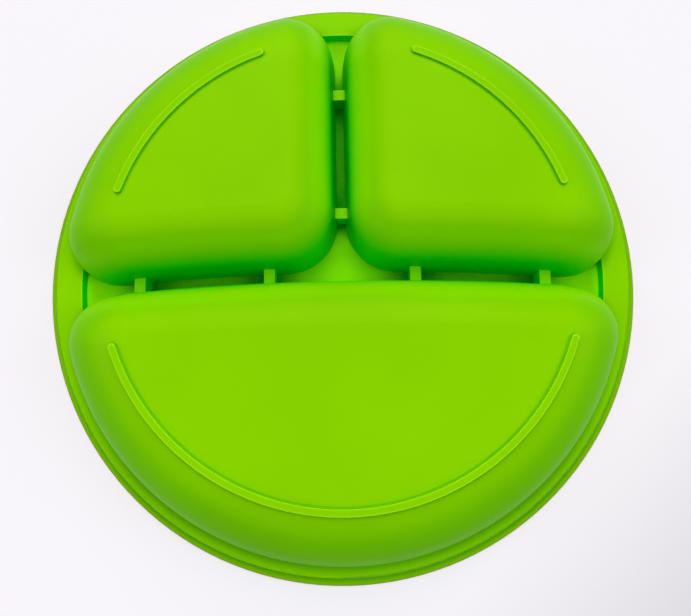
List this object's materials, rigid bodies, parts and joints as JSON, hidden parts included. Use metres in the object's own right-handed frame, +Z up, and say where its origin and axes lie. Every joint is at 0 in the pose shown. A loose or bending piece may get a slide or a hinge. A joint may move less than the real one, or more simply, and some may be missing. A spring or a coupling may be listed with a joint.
{
  "type": "divided silicone childrens plate",
  "caption": "Round divided plate moulded in one piece of soft silicone, with a half-round well and quarter wells, shown underside up with thin beads on the bases and small ribs in the gaps.",
  "frame": {"origin": "centre of the rim's food face, which lies on the table when the plate is turned over as pictured", "axes": "+Z up out of the plate's underside, away from the food side; +Y from the half-round well towards the quarter wells; +X to the right seen from above"},
  "size_m": [0.2, 0.2, 0.0318],
  "materials": {
    "silicone": "satin lime-green silicone with a fine moulded grain"
  },
  "bodies": {
    "root": {"plate": "silicone"}
  },
  "joints": []
}
